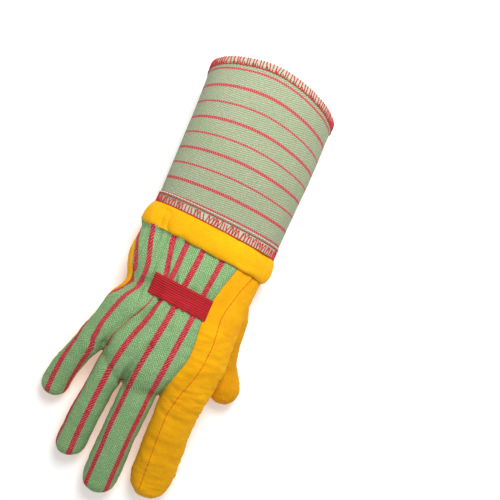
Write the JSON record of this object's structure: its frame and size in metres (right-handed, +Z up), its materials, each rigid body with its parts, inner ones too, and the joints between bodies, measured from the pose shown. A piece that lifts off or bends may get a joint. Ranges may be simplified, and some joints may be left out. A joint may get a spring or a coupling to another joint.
{
  "type": "cotton work glove",
  "caption": "Right-hand cotton work glove with a striped back, golden fleece palm, set-in thumb, elastic tape at the wrist and a stiff, striped, open gauntlet cuff, lying palm down.",
  "frame": {"origin": "middle of the glove's outline, on the surface that it lies on", "axes": "+Y from the fingertips to the cuff's open mouth, +X to the thumb side, +Z up from the surface, out of the back of the hand"},
  "size_m": [0.1384, 0.3262, 0.0724],
  "materials": {
    "starched_drill": "starched twill, pale green with thin red stripes",
    "band_fleece": "golden napped fleece",
    "striped_drill": "green herringbone with bold red stripes",
    "palm_fleece": "golden napped fleece, quilted with red thread",
    "thumb_fleece": "golden napped fleece",
    "elastic": "ribbed red elastic tape"
  },
  "bodies": {
    "root": {"gauntlet_cuff": "starched_drill", "wrist_band": "band_fleece", "striped_back": "striped_drill", "fleece_palm": "palm_fleece", "index_wrap": "palm_fleece", "fleece_thumb": "thumb_fleece", "elastic_tape": "elastic"}
  },
  "joints": []
}
